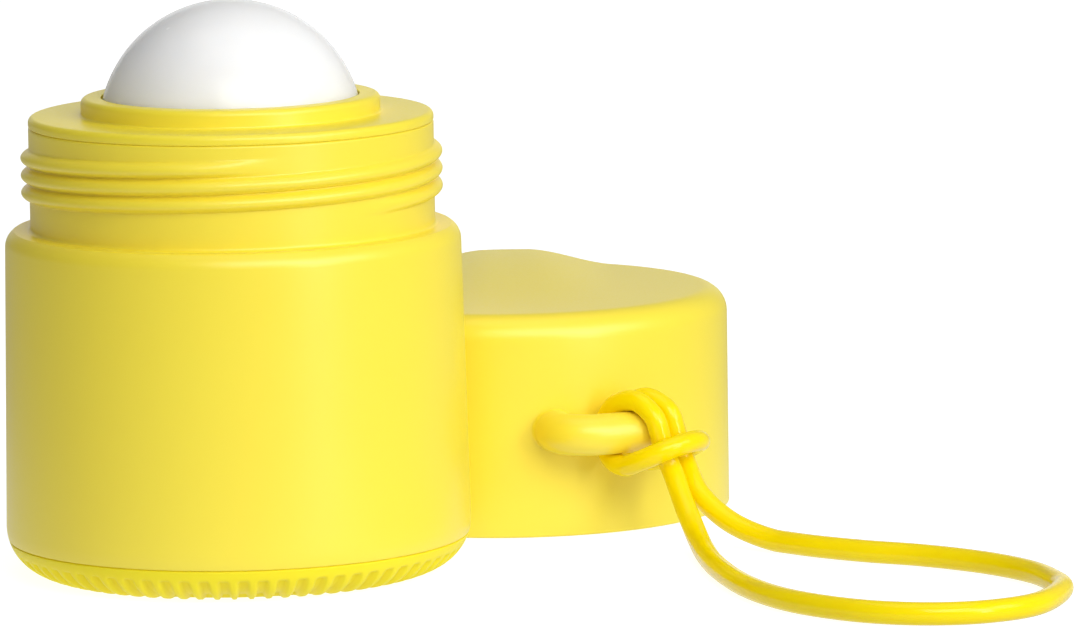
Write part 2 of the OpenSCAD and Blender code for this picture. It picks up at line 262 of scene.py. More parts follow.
def arc(centre: tuple[float, float], radius: float, start: float, end: float,
        steps: int) -> Outline:
    """Points along an arc.

    Args:
        centre: The arc's centre.
        radius: Its radius.
        start: Its first angle, in degrees.
        end: Its last angle, in degrees.
        steps: The number of steps between them.

    Returns:
        One point more than there are steps.
    """
    angles = np.radians(np.linspace(start, end, steps + 1))
    return [(centre[0] + radius * math.cos(a), centre[1] + radius * math.sin(a)) for a in angles]


def unit(vector: np.ndarray) -> np.ndarray:
    """Returns the vector at a length of 1."""
    return vector / np.linalg.norm(vector)


def rounded(corners: list[Corner], closed: bool = True, step: float = 11.0) -> Outline:
    """Rounds each corner of an outline by its own radius.

    Args:
        corners: Distance from the axis, height and rounding of each corner.
        closed: Whether the last corner joins the first.
        step: The angle between two points of a rounding, in degrees.

    Returns:
        The outline's points.
    """
    points: Outline = []
    last = len(corners) - 1
    for i, (across, up, rounding) in enumerate(corners):
        here = np.array((across, up))
        if rounding == 0 or (not closed and i in (0, last)):
            points.append((across, up))
            continue
        before = unit(np.array(corners[i - 1][:2]) - here)
        after = unit(np.array(corners[(i + 1) % len(corners)][:2]) - here)
        half = math.acos(float(np.clip(before @ after, -1, 1))) / 2
        centre = here + unit(before + after) * rounding / math.sin(half)
        first = here + before * rounding / math.tan(half) - centre
        final = here + after * rounding / math.tan(half) - centre
        start = math.degrees(math.atan2(first[1], first[0]))
        turn = math.degrees(math.atan2(final[1], final[0])) - start
        turn = (turn + 180) % 360 - 180
        steps = max(2, math.ceil(abs(turn) / step))
        points += arc((centre[0], centre[1]), rounding, start, start + turn, steps)
    return points


def spaced(outline: Outline, longest: float, low: float = -1e9, high: float = 1e9,
           near: float | None = None, closed: bool = True) -> Outline:
    """Adds points to the long stretches of an outline.

    Args:
        outline: The outline.
        longest: The longest stretch that stays whole.
        low: Stretches below this height stay as they are.
        high: Stretches above this height stay as they are.
        near: Where given, only upright stretches at this distance from the axis are divided.
        closed: Whether the last point joins the first.

    Returns:
        The outline with the points added.
    """
    points: Outline = []
    ends = outline[1:] + ([outline[0]] if closed else [])
    for (x0, y0), (x1, y1) in zip(outline, ends):
        points.append((x0, y0))
        inside = low <= min(y0, y1) and max(y0, y1) <= high
        if near is not None:
            inside = inside and abs(x0 - near) < 1e-6 and abs(x1 - near) < 1e-6
        if inside:
            count = math.ceil(math.hypot(x1 - x0, y1 - y0) / longest)
            points += [(x0 + (x1 - x0) * k / count, y0 + (y1 - y0) * k / count)
                       for k in range(1, count)]
    if not closed:
        points.append(outline[-1])
    return points


def make_piece(name: str, points: np.ndarray, faces: list) -> bpy.types.Object:
    """Makes a smooth mesh object whose faces point outwards.

    Args:
        name: The piece's name.
        points: Its points, in millimetres.
        faces: Its faces, as point numbers.

    Returns:
        The object, at the origin.
    """
    mesh = bpy.data.meshes.new(name)
    mesh.from_pydata((np.asarray(points) * MM).tolist(), [], faces)
    mesh.validate()
    piece = bpy.data.objects.new(name, mesh)
    bpy.context.scene.collection.objects.link(piece)
    mesh.calc_loop_triangles()
    triangles = np.zeros(len(mesh.loop_triangles) * 3, int)
    mesh.loop_triangles.foreach_get("vertices", triangles)
    where = np.zeros(len(mesh.vertices) * 3)
    mesh.vertices.foreach_get("co", where)
    a, b, c = np.moveaxis(where.reshape(-1, 3)[triangles.reshape(-1, 3)], 1, 0)
    if float(np.einsum("ij,ij->i", a, np.cross(b, c)).sum()) < 0:
        mesh.flip_normals()
    mesh.shade_smooth()
    return piece


def revolve(name: str, outline: Outline, segments: int, closed: bool = True) -> bpy.types.Object:
    """Turns an outline round the vertical axis.

    Args:
        name: The piece's name.
        outline: Distance from the axis and height of each point.
        segments: The number of steps round the axis.
        closed: Whether the outline is a loop, or starts and ends on the axis.

    Returns:
        The turned piece.
    """
    points: list[tuple[float, float, float]] = []
    rings: list[list[int]] = []
    for across, up in outline:
        start = len(points)
        if across < 1e-6:
            points.append((0, 0, up))
            rings.append([start] * segments)
            continue
        points += [(across * math.cos(TURN * k / segments), across * math.sin(TURN * k / segments), up)
                   for k in range(segments)]
        rings.append(list(range(start, start + segments)))
    pairs = list(zip(rings, rings[1:] + ([rings[0]] if closed else [])))
    faces = []
    for lower, upper in pairs:
        for k in range(segments):
            after = (k + 1) % segments
            corners = [lower[k], lower[after], upper[after], upper[k]]
            faces.append([c for i, c in enumerate(corners) if c not in corners[:i]])
    return make_piece(name, np.array(points), faces)


def sweep(line: np.ndarray, radii: np.ndarray, sides: int) -> tuple[np.ndarray, list]:
    """Sweeps a round section along a line without twist.

    Args:
        line: The points of the line.
        radii: The section's radius at each point.
        sides: The number of steps round the section.

    Returns:
        The tube's points and faces, with both ends closed.
    """
    along = np.array([unit(b - a) for a, b in zip(np.vstack([line[:1], line[:-1]]),
                                                  np.vstack([line[1:], line[-1:]]))])
    side = np.cross(along[0], (0.31, 0.57, 0.76))
    angles = TURN * np.arange(sides) / sides
    points = []
    for here, forward, radius in zip(line, along, radii):
        side = unit(side - forward * (side @ forward))
        up = np.cross(forward, side)
        points += [here + radius * (math.cos(a) * side + math.sin(a) * up) for a in angles]
    faces = [[i * sides + k, i * sides + (k + 1) % sides,
              (i + 1) * sides + (k + 1) % sides, (i + 1) * sides + k]
             for i in range(len(line) - 1) for k in range(sides)]
    faces.append(list(range(sides))[::-1])
    faces.append([(len(line) - 1) * sides + k for k in range(sides)])
    return np.array(points), faces


def smooth_line(points: np.ndarray, steps: int) -> np.ndarray:
    """Returns a smooth line through the points, with this many steps between two of them."""
    padded = np.vstack([points[:1], points, points[-1:]])
    line = []
    for p0, p1, p2, p3 in zip(padded, padded[1:], padded[2:], padded[3:]):
        for t in np.arange(steps) / steps:
            line.append(0.5 * (2 * p1 + (p2 - p0) * t + (2 * p0 - 5 * p1 + 4 * p2 - p3) * t * t
                               + (3 * p1 - p0 - 3 * p2 + p3) * t ** 3))
    return np.array(line + [points[-1]])


def start_tree(name: str, sizes: dict[str, float]) -> tuple[bpy.types.NodeTree, bpy.types.Node]:
    """Starts a geometry tree whose inputs are a mesh, a finish and named sizes.

    Args:
        name: The tree's name.
        sizes: The name and usual value of each size.

    Returns:
        The tree and its input node.
    """
    tree = bpy.data.node_groups.new(name, "GeometryNodeTree")
    tree.interface.new_socket("Mesh", in_out="INPUT", socket_type="NodeSocketGeometry")
    tree.interface.new_socket("Finish", in_out="INPUT", socket_type="NodeSocketMaterial")
    for size, value in sizes.items():
        socket = tree.interface.new_socket(size, in_out="INPUT", socket_type="NodeSocketFloat")
        socket.default_value = value
    tree.interface.new_socket("Mesh", in_out="OUTPUT", socket_type="NodeSocketGeometry")
    return tree, tree.nodes.new("NodeGroupInput")


def end_tree(tree: bpy.types.NodeTree, given: bpy.types.Node, mesh: bpy.types.NodeSocket) -> None:
    """Ends a geometry tree: real geometry, with its finish.

    Args:
        tree: The tree.
        given: Its input node.
        mesh: The geometry that it made.
    """
    real = add_node(tree, "GeometryNodeRealizeInstances", {0: mesh})
    dressed = add_node(tree, "GeometryNodeSetMaterial", {
        "Geometry": real, "Material": given.outputs["Finish"]})
    add_node(tree, "NodeGroupOutput", {0: dressed})


def run_tree(piece: bpy.types.Object, tree: bpy.types.NodeTree, values: dict) -> None:
    """Runs a geometry tree on a piece and keeps the result as its plain mesh.

    Args:
        piece: The piece.
        tree: The tree.
        values: The tree's inputs by name.
    """
    modifier = piece.modifiers.new(tree.name, "NODES")
    modifier.node_group = tree
    for item in tree.interface.items_tree:
        if item.in_out == "INPUT" and item.name in values:
            modifier[item.identifier] = values[item.name]
    evaluated = piece.evaluated_get(bpy.context.evaluated_depsgraph_get())
    mesh = bpy.data.meshes.new_from_object(evaluated)
    piece.modifiers.remove(modifier)
    piece.data = mesh


def screw_thread_tree() -> bpy.types.NodeTree:
    """Builds the tree that raises a screw thread on a round wall.

    Each point of the wall finds the nearest turn of any start, and moves out from the axis by the
    ridge's height there. A negative height raises the ridge inwards, as in a cap.

    Returns:
        The tree.
    """
    tree, given = start_tree("raise_screw_thread", {
        "Wall Radius": 0.0268, "Height": 0.0011, "Width": 0.002, "Lead": 0.0046, "Starts": 2.0,
        "Sweep": 9.0, "Top": 0.0569, "First Angle": 0.0, "Fade": 0.6, "Roundness": 0.75,
        "Axis X": 0.0, "Axis Y": 0.0})
    size = given.outputs
    place = add_node(tree, "GeometryNodeInputPosition")
    axis = add_node(tree, "ShaderNodeCombineXYZ", {0: size["Axis X"], 1: size["Axis Y"]})
    local = add_node(tree, "ShaderNodeVectorMath", {0: place, 1: axis}, operation="SUBTRACT")
    flat = add_node(tree, "ShaderNodeVectorMath", {0: local, 1: (1, 1, 0)}, operation="MULTIPLY")
    out = add_node(tree, "ShaderNodeVectorMath", {0: flat}, operation="NORMALIZE")
    away = add_node(tree, "ShaderNodeVectorMath", {0: flat}, output="Value", operation="LENGTH")
    parts = add_node(tree, "ShaderNodeSeparateXYZ", {0: local}).node.outputs
    angle = add_node(tree, "ShaderNodeMath", {0: parts[1], 1: parts[0]}, operation="ARCTAN2")
    pitch = add_node(tree, "ShaderNodeMath", {0: TURN, 1: size["Starts"]}, operation="DIVIDE")
    back = add_node(tree, "ShaderNodeMath", {0: size["First Angle"], 1: angle}, operation="SUBTRACT")
    phase = add_node(tree, "ShaderNodeMath", {0: back, 1: pitch, 2: 0.0}, operation="WRAP")
    drop = add_node(tree, "ShaderNodeMath", {0: size["Top"], 1: parts[2]}, operation="SUBTRACT")
    rise = add_node(tree, "ShaderNodeMath", {0: size["Lead"], 1: TURN}, operation="DIVIDE")
    wound = add_node(tree, "ShaderNodeMath", {0: drop, 1: rise}, operation="DIVIDE")
    past = add_node(tree, "ShaderNodeMath", {0: wound, 1: phase}, operation="SUBTRACT")
    turns = add_node(tree, "ShaderNodeMath", {0: past, 1: pitch}, operation="DIVIDE")
    nearest = add_node(tree, "ShaderNodeMath", {0: turns}, operation="ROUND")
    left = add_node(tree, "ShaderNodeMath", {0: size["Sweep"], 1: phase}, operation="SUBTRACT")
    room = add_node(tree, "ShaderNodeMath", {0: left, 1: pitch}, operation="DIVIDE")
    most = add_node(tree, "ShaderNodeMath", {0: room}, operation="FLOOR")
    lower = add_node(tree, "ShaderNodeMath", {0: nearest, 1: most}, operation="MINIMUM")
    turn = add_node(tree, "ShaderNodeMath", {0: lower, 1: 0.0}, operation="MAXIMUM")
    whole = add_node(tree, "ShaderNodeMath", {0: turn, 1: pitch}, operation="MULTIPLY")
    run = add_node(tree, "ShaderNodeMath", {0: whole, 1: phase}, operation="ADD")
    miss = add_node(tree, "ShaderNodeMath", {0: wound, 1: run}, operation="SUBTRACT")
    below = add_node(tree, "ShaderNodeMath", {0: miss, 1: rise}, operation="MULTIPLY")
    gap = add_node(tree, "ShaderNodeMath", {0: below}, operation="ABSOLUTE")
    foot = add_node(tree, "ShaderNodeMath", {0: size["Width"], 1: 0.5}, operation="MULTIPLY")
    off = add_node(tree, "ShaderNodeMath", {0: gap, 1: foot}, operation="DIVIDE")
    square = add_node(tree, "ShaderNodeMath", {0: off, 1: off}, operation="MULTIPLY")
    inside = add_node(tree, "ShaderNodeMath", {0: 1.0, 1: square}, operation="SUBTRACT",
                      use_clamp=True)
    ridge = add_node(tree, "ShaderNodeMath", {0: inside, 1: size["Roundness"]}, operation="POWER")
    begins = add_node(tree, "ShaderNodeMapRange", {
        "Value": run, "From Min": 0.0, "From Max": size["Fade"]}, interpolation_type="SMOOTHSTEP")
    rest = add_node(tree, "ShaderNodeMath", {0: size["Sweep"], 1: run}, operation="SUBTRACT")
    ends = add_node(tree, "ShaderNodeMapRange", {
        "Value": rest, "From Min": 0.0, "From Max": size["Fade"]}, interpolation_type="SMOOTHSTEP")
    faded = add_node(tree, "ShaderNodeMath", {0: begins, 1: ends}, operation="MULTIPLY")
    shape = add_node(tree, "ShaderNodeMath", {0: ridge, 1: faded}, operation="MULTIPLY")
    height = add_node(tree, "ShaderNodeMath", {0: shape, 1: size["Height"]}, operation="MULTIPLY")
    offset = add_node(tree, "ShaderNodeVectorMath", {0: out, "Scale": height}, operation="SCALE")
    on_wall = add_node(tree, "FunctionNodeCompare", {
        0: away, 1: size["Wall Radius"], "Epsilon": 2e-5}, operation="EQUAL")
    moved = add_node(tree, "GeometryNodeSetPosition", {
        "Geometry": size["Mesh"], "Selection": on_wall, "Offset": offset})
    end_tree(tree, given, moved)
    return tree


def grip_rib_tree() -> bpy.types.NodeTree:
    """Builds the tree that cuts grip grooves across a rounded foot.

    A groove sinks each point towards the middle of the foot's rounding. It starts below a plain
    band and runs in under the foot, and the rib between two grooves keeps the foot's own surface.

    Returns:
        The tree.
    """
    tree, given = start_tree("cut_grip_grooves", {
        "Count": 64.0, "Width": 0.0013, "Depth": 0.00075, "Edge": 0.0002, "Round Radius": 0.0244,
        "Round Height": 0.0065, "First": 0.5, "First Full": 0.7, "Last": 1.7, "Last Full": 1.6})
    size = given.outputs
    place = add_node(tree, "GeometryNodeInputPosition")
    parts = add_node(tree, "ShaderNodeSeparateXYZ", {0: place}).node.outputs
    flat = add_node(tree, "ShaderNodeVectorMath", {0: place, 1: (1, 1, 0)}, operation="MULTIPLY")
    out = add_node(tree, "ShaderNodeVectorMath", {0: flat}, operation="NORMALIZE")
    away = add_node(tree, "ShaderNodeVectorMath", {0: flat}, output="Value", operation="LENGTH")
    across = add_node(tree, "ShaderNodeMath", {0: away, 1: size["Round Radius"]}, operation="SUBTRACT")
    under = add_node(tree, "ShaderNodeMath", {0: size["Round Height"], 1: parts[2]}, operation="SUBTRACT")
    round_angle = add_node(tree, "ShaderNodeMath", {0: under, 1: across}, operation="ARCTAN2")
    starts = add_node(tree, "ShaderNodeMapRange", {
        "Value": round_angle, "From Min": size["First"], "From Max": size["First Full"]},
        interpolation_type="SMOOTHSTEP")
    stops = add_node(tree, "ShaderNodeMapRange", {
        "Value": round_angle, "From Min": size["Last"], "From Max": size["Last Full"]},
        interpolation_type="SMOOTHSTEP")
    angle = add_node(tree, "ShaderNodeMath", {0: parts[1], 1: parts[0]}, operation="ARCTAN2")
    pitch = add_node(tree, "ShaderNodeMath", {0: TURN, 1: size["Count"]}, operation="DIVIDE")
    ribs = add_node(tree, "ShaderNodeMath", {0: angle, 1: pitch}, operation="DIVIDE")
    share = add_node(tree, "ShaderNodeMath", {0: ribs, 1: 0.5, 2: -0.5}, operation="WRAP")
    arc_share = add_node(tree, "ShaderNodeMath", {0: share, 1: pitch}, operation="MULTIPLY")
    side = add_node(tree, "ShaderNodeMath", {0: arc_share, 1: away}, operation="MULTIPLY")
    gap = add_node(tree, "ShaderNodeMath", {0: side}, operation="ABSOLUTE")
    half = add_node(tree, "ShaderNodeMath", {0: size["Width"], 1: 0.5}, operation="MULTIPLY")
    floor_edge = add_node(tree, "ShaderNodeMath", {0: half, 1: size["Edge"]}, operation="SUBTRACT")
    lip_edge = add_node(tree, "ShaderNodeMath", {0: half, 1: size["Edge"]}, operation="ADD")
    groove = add_node(tree, "ShaderNodeMapRange", {
        "Value": gap, "From Min": lip_edge, "From Max": floor_edge}, interpolation_type="SMOOTHSTEP")
    along = add_node(tree, "ShaderNodeMath", {0: starts, 1: stops}, operation="MULTIPLY")
    share_deep = add_node(tree, "ShaderNodeMath", {0: groove, 1: along}, operation="MULTIPLY")
    depth = add_node(tree, "ShaderNodeMath", {0: share_deep, 1: size["Depth"]}, operation="MULTIPLY")
    centre_out = add_node(tree, "ShaderNodeVectorMath", {
        0: out, "Scale": size["Round Radius"]}, operation="SCALE")
    centre_up = add_node(tree, "ShaderNodeCombineXYZ", {2: size["Round Height"]})
    centre = add_node(tree, "ShaderNodeVectorMath", {0: centre_out, 1: centre_up}, operation="ADD")
    inward = add_node(tree, "ShaderNodeVectorMath", {0: centre, 1: place}, operation="SUBTRACT")
    toward = add_node(tree, "ShaderNodeVectorMath", {0: inward}, operation="NORMALIZE")
    offset = add_node(tree, "ShaderNodeVectorMath", {0: toward, "Scale": depth}, operation="SCALE")
    reach = add_node(tree, "ShaderNodeVectorMath", {0: inward}, output="Value", operation="LENGTH")
    slack = add_node(tree, "ShaderNodeMath", {0: size["Round Height"], 1: 1e-4}, operation="SUBTRACT")
    on_foot = add_node(tree, "FunctionNodeCompare", {0: reach, 1: slack}, operation="GREATER_THAN")
    low = add_node(tree, "FunctionNodeCompare", {
        0: parts[2], 1: size["Round Height"]}, operation="LESS_THAN")
    chosen = add_node(tree, "FunctionNodeBooleanMath", {0: on_foot, 1: low}, operation="AND")
    moved = add_node(tree, "GeometryNodeSetPosition", {
        "Geometry": size["Mesh"], "Selection": chosen, "Offset": offset})
    end_tree(tree, given, moved)
    return tree


def feed_hole_tree(count: int) -> bpy.types.NodeTree:
    """Builds the tree that drills a feed hole and a ring of small ones through a cup's floor.

    Args:
        count: The number of small holes.

    Returns:
        The tree.
    """
    tree, given = start_tree("drill_feed_holes", {
        "Hole": 0.004, "Small Hole": 0.0014, "Ring": 0.0074, "Level": 0.04, "Length": 0.02})
    size = given.outputs
    centre = add_node(tree, "ShaderNodeCombineXYZ", {2: size["Level"]})
    middle = add_node(tree, "GeometryNodeMeshCylinder", {
        "Vertices": 48, "Radius": size["Hole"], "Depth": size["Length"]})
    ring = add_node(tree, "GeometryNodeMeshCircle", {"Vertices": count, "Radius": size["Ring"]})
    small = add_node(tree, "GeometryNodeMeshCylinder", {
        "Vertices": 24, "Radius": size["Small Hole"], "Depth": size["Length"]})
    drills = add_node(tree, "GeometryNodeInstanceOnPoints", {"Points": ring, "Instance": small})
    joined = tree.nodes.new("GeometryNodeJoinGeometry")
    tree.links.new(middle, joined.inputs[0])
    tree.links.new(drills, joined.inputs[0])
    solid = add_node(tree, "GeometryNodeRealizeInstances", {0: joined.outputs[0]})
    placed = add_node(tree, "GeometryNodeTransform", {"Geometry": solid, "Translation": centre})
    drilled = add_node(tree, "GeometryNodeMeshBoolean", {0: size["Mesh"], 1: placed},
                       operation="DIFFERENCE", solver="EXACT")
    end_tree(tree, given, drilled)
    return tree


def fit_piece(piece: bpy.types.Object, node: str, body: Body,
              material: bpy.types.Material | None = None) -> bpy.types.Object:
    """Puts a finished piece in place of its solid: hides the solid and hangs the piece on its body.
        node: The solid that it stands for.
        body: The body that it rides on.
        material: Its finish, where the mesh has none yet.

    Returns:
        The piece.
    """
    if material is not None:
        piece.data.materials.clear()
        piece.data.materials.append(material)
    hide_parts(node)
    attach(piece, body.value)
    LOG.info("%s: %d faces, on %s", piece.name, len(piece.data.polygons), body.value)
    return piece


@dataclass
class Bottle:
    """Body with its threaded neck, the ball's housing and the ball."""

    body_r: float = 30.9
    draft: float = 0.7
    shoulder_w: float = 3.4
    ledge_z: float = 45.9
    shoulder_round: float = 2.5
    ledge_r: float = 29.0
    body_wall: float = 2.0
    neck_h: float = 13.7
    neck_wall: float = 2.0
    foot_round: float = 6.5
    rim_z: float = 4.75
    rim_bore_r: float = 27.6
    plug_top: float = 12.25
    thread_lead: float = 4.6
    thread_starts: int = 2
    thread_h: float = 1.1
    thread_w: float = 2.05
    thread_sweep: float = 520.0
    thread_top_gap: float = 2.7
    thread_from: float = -75.0
    ball_gap: float = 0.25
    ball_sink: float = 4.9
    flange_t: float = 1.4
    collar_r: float = 19.8
    collar_h: float = 2.4
    socket_wall: float = 1.5
    spigot_h: float = 8.0
    spigot_wall: float = 1.4
    spigot_gap: float = 0.05
    feed_r: float = 4.0
    feed_small_r: float = 1.4
    feed_count: int = 6
    feed_ring_r: float = 7.4
    segments: int = 288
    row_mm: float = 0.13

    @property
    def shoulder_r(self) -> float:
        """Returns the body's radius under its shoulder."""
        return self.body_r - self.draft

    @property
    def neck_r(self) -> float:
        """Returns the neck's radius."""
        return self.shoulder_r - self.shoulder_w

    @property
    def neck_top(self) -> float:
        """Returns the height of the neck's top."""
        return self.ledge_z + self.neck_h

    def body_outline(self) -> Outline:
        """Returns the outline of the body's wall, from its lower rim over the shoulder and back."""
        foot_r = self.body_r - self.foot_round
        tip = math.degrees(math.asin((self.foot_round - self.rim_z) / self.foot_round))
        foot = arc((foot_r, self.foot_round), self.foot_round, -tip, 0, 5)
        shoulder_cr = self.shoulder_r - self.shoulder_round
        top = math.degrees(math.acos((self.ledge_r - shoulder_cr) / self.shoulder_round))
        shoulder_cz = self.ledge_z - self.shoulder_round * math.sin(math.radians(top))
        shoulder = arc((shoulder_cr, shoulder_cz), self.shoulder_round, 0, top, 10)
        bore_r = self.shoulder_r - self.body_wall
        neck_bore_r = self.neck_r - self.neck_wall
        under = self.ledge_z - self.body_wall
        edge = [(r, z, 0.0) for r, z in foot + shoulder]
        edge[0] = (edge[0][0], edge[0][1], 0.12)
        edge[-1] = (edge[-1][0], edge[-1][1], 0.1)
        return rounded(
            [(self.rim_bore_r, self.rim_z, 0.15)] + edge
            + [(self.neck_r, self.ledge_z, 0.45), (self.neck_r, self.neck_top, 0.3),
               (neck_bore_r, self.neck_top, 0.3), (neck_bore_r, under, 1.0),
               (bore_r, under - (bore_r - neck_bore_r), 2.5), (bore_r, self.plug_top + 2, 0.5),
               (self.rim_bore_r, self.plug_top + 1, 0.4)])

    def make_body(self, thread: bpy.types.NodeTree, finish: bpy.types.Material) -> bpy.types.Object:
        """Makes the body with its neck thread.

        Args:
            thread: The tree that raises a screw thread.
            finish: The body's finish.

        Returns:
            The body.
        """
        outline = spaced(self.body_outline(), self.row_mm, low=self.ledge_z, near=self.neck_r)
        outline = spaced(outline, 3.0)
        piece = revolve("bottle_body", outline, self.segments)
        run_tree(piece, thread, {
            "Finish": finish, "Wall Radius": self.neck_r * MM, "Height": self.thread_h * MM,
            "Width": self.thread_w * MM, "Lead": self.thread_lead * MM,
            "Starts": float(self.thread_starts), "Sweep": math.radians(self.thread_sweep),
            "Top": (self.neck_top - self.thread_top_gap) * MM,
            "First Angle": math.radians(self.thread_from)})
        return fit_piece(piece, "body_shell", Body.BOTTLE)

    def make_housing(self, drill: bpy.types.NodeTree, finish: bpy.types.Material) -> bpy.types.Object:
        """Makes the ball's housing: flange, collar, socket and the spigot in the neck.

        Args:
            drill: The tree that drills the feed holes.
            finish: The housing's finish.

        Returns:
            The housing.
        """
        flange_top = self.neck_top + self.flange_t
        collar_top = flange_top + self.collar_h
        centre_z, ball_r = self.ball_place()
        socket_r = ball_r + self.ball_gap
        cup_r = socket_r + self.socket_wall
        spigot_r = self.neck_r - self.neck_wall - self.spigot_gap
        rim = math.degrees(math.asin(self.ball_sink / socket_r))
        socket = arc((0, centre_z), socket_r, rim, -90, 40)
        cup = arc((0, centre_z), cup_r, -90, 0, 24)
        lip = (socket[0][0], collar_top, 0.12)
        corners = (
            [(r, z, 0.0) for r, z in cup]
            + [(cup_r, self.neck_top, 0.3), (spigot_r - self.spigot_wall, self.neck_top, 0.4),
               (spigot_r - self.spigot_wall, self.neck_top - self.spigot_h, 0.25),
               (spigot_r, self.neck_top - self.spigot_h, 0.4), (spigot_r, self.neck_top, 0.0),
               (self.neck_r, self.neck_top, 0.3), (self.neck_r, flange_top, 0.75),
               (self.collar_r, flange_top, 0.35), (self.collar_r, collar_top, 0.8), lip]
            + [(r, z, 0.0) for r, z in socket[1:]])
        outline = spaced(rounded(corners, closed=False), 2.5, closed=False)
        piece = revolve("ball_seat", outline, self.segments, closed=False)
        run_tree(piece, drill, {
            "Finish": finish, "Hole": self.feed_r * MM, "Small Hole": self.feed_small_r * MM,
            "Ring": self.feed_ring_r * MM, "Level": (centre_z - cup_r) * MM, "Length": cup_r * MM})
        piece.data.shade_smooth()
        piece.data.set_sharp_from_angle(angle=math.radians(40))
        return fit_piece(piece, "ball_housing", Body.BOTTLE)

    def ball_place(self) -> tuple[float, float]:
        """Returns the height of the ball's centre and the ball's radius, from the frame."""
        low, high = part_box("applicator_ball")
        return (low.z + high.z) / 2 / MM, (high.z - low.z) / 2 / MM

    def make_ball(self, finish: bpy.types.Material) -> bpy.types.Object:
        """Makes the ball, turned about an upright axis.

        Args:
            finish: The ball's finish.

        Returns:
            The ball.
        """
        centre_z, radius = self.ball_place()
        outline = arc((0, centre_z), radius, -90, 90, 96)
        outline[0] = (0.0, centre_z - radius)
        outline[-1] = (0.0, centre_z + radius)
        piece = revolve("roll_ball", outline, 192, closed=False)
        return fit_piece(piece, "applicator_ball", Body.BALL, finish)


@dataclass
class RibbedBase:
    """Ribbed base that screws up into the body, and the seal in its groove."""

    body_r: float = 30.9
    foot_round: float = 6.5
    seam_z: float = 4.4
    seam_gap: float = 0.35
    seam_depth: float = 0.2
    seam_close: float = 0.2
    rib_count: int = 72
    groove_w: float = 1.3
    groove_d: float = 0.75
    groove_edge: float = 0.2
    rib_fade: float = 0.14
    rib_band: float = 1.1
    rib_under: float = 7.0
    floor_t: float = 1.8
    recess: float = 0.8
    ring_w: float = 4.5
    plug_r: float = 27.3
    plug_wall: float = 3.0
    plug_h: float = 7.5
    seal_up: float = 1.6
    seal_r: float = 0.8
    seal_gap: float = 0.25
    seal_mid_r: float = 26.55
    thread_lead: float = 5.0
    thread_h: float = 0.22
    thread_w: float = 1.4
    thread_sweep: float = 300.0
    segments: int = 720

    def outline(self) -> Outline:
        """Returns the base's outline, from the axis under the foot to the axis over the floor."""
        foot_r = self.body_r - self.foot_round
        rim_z = self.seam_z + self.seam_gap
        top = rim_z + self.plug_h
        edge_z = self.seam_z + self.seam_close
        tip = math.degrees(math.asin((self.foot_round - edge_z) / self.foot_round))
        foot = arc((foot_r, self.foot_round), self.foot_round, -90, -tip, 26)
        seam_r = foot[-1][0] - self.seam_depth
        groove = self.seal_r + self.seal_gap
        seal_z = rim_z + self.seal_up
        bed_r = self.seal_mid_r - groove
        inner_r = self.plug_r - self.plug_wall
        floor_z = self.recess + self.floor_t
        ring_r = foot_r - self.ring_w
        flat = [(ring_r + (foot_r - ring_r) * k / 9, 0.0, 0.0) for k in range(1, 9)]
        edge = [(r, z, 0.0) for r, z in foot]
        edge[-1] = (foot[-1][0], foot[-1][1], 0.12)
        corners = (
            [(0, self.recess, 0), (ring_r - self.recess, self.recess, 0.5), (ring_r, 0, 0.3)]
            + flat + edge
            + [(seam_r, edge_z, 0.05), (seam_r, rim_z, 0.1), (self.plug_r, rim_z, 0.1),
               (self.plug_r, seal_z - groove, 0.1), (bed_r, seal_z - groove, 0.2),
               (bed_r, seal_z + groove, 0.2), (self.plug_r, seal_z + groove, 0.1),
               (self.plug_r, top, 0.4), (inner_r, top, 0.3), (inner_r, floor_z, 0.8), (0, floor_z, 0)])
        return rounded(corners, closed=False, step=30)

    def make_base(self, ribs: bpy.types.NodeTree, thread: bpy.types.NodeTree,
                  finish: bpy.types.Material) -> bpy.types.Object:
        """Makes the base with its grip ribs and the thread on its spigot.

        Args:
            ribs: The tree that cuts the grip grooves.
            thread: The tree that raises a screw thread.
            finish: The base's finish.

        Returns:
            The base.
        """
        rim_z = self.seam_z + self.seam_gap
        low = rim_z + self.seal_up + self.seal_r + self.seal_gap
        outline = spaced(self.outline(), 0.3, low=low, near=self.plug_r, closed=False)
        piece = revolve("ribbed_base", outline, self.segments, closed=False)
        top = math.asin((self.foot_round - self.seam_z + self.rib_band) / self.foot_round)
        under = math.radians(90 + self.rib_under)
        run_tree(piece, ribs, {
            "Finish": finish, "Count": float(self.rib_count), "Width": self.groove_w * MM,
            "Depth": self.groove_d * MM, "Edge": self.groove_edge * MM,
            "Round Radius": (self.body_r - self.foot_round) * MM,
            "Round Height": self.foot_round * MM, "First": top, "First Full": top + self.rib_fade,
            "Last": under + 0.02, "Last Full": under - 0.03})
        run_tree(piece, thread, {
            "Finish": finish, "Wall Radius": self.plug_r * MM, "Height": self.thread_h * MM,
            "Width": self.thread_w * MM, "Lead": self.thread_lead * MM, "Starts": 1.0,
            "Sweep": math.radians(self.thread_sweep), "Top": (rim_z + self.plug_h - 0.9) * MM,
            "First Angle": 0.0, "Fade": 0.3, "Roundness": 1.0})
        return fit_piece(piece, "base_plug", Body.BASE)

    def make_seal(self, finish: bpy.types.Material) -> bpy.types.Object:
        """Makes the round seal in the spigot's groove.

        Args:
            finish: The seal's finish.

        Returns:
            The seal.
        """
        middle = (self.seal_mid_r, self.seam_z + self.seam_gap + self.seal_up)
        piece = revolve("base_o_ring", arc(middle, self.seal_r, 0, 360, 20)[:-1], 192)
        return fit_piece(piece, "base_seal", Body.SEAL, finish)


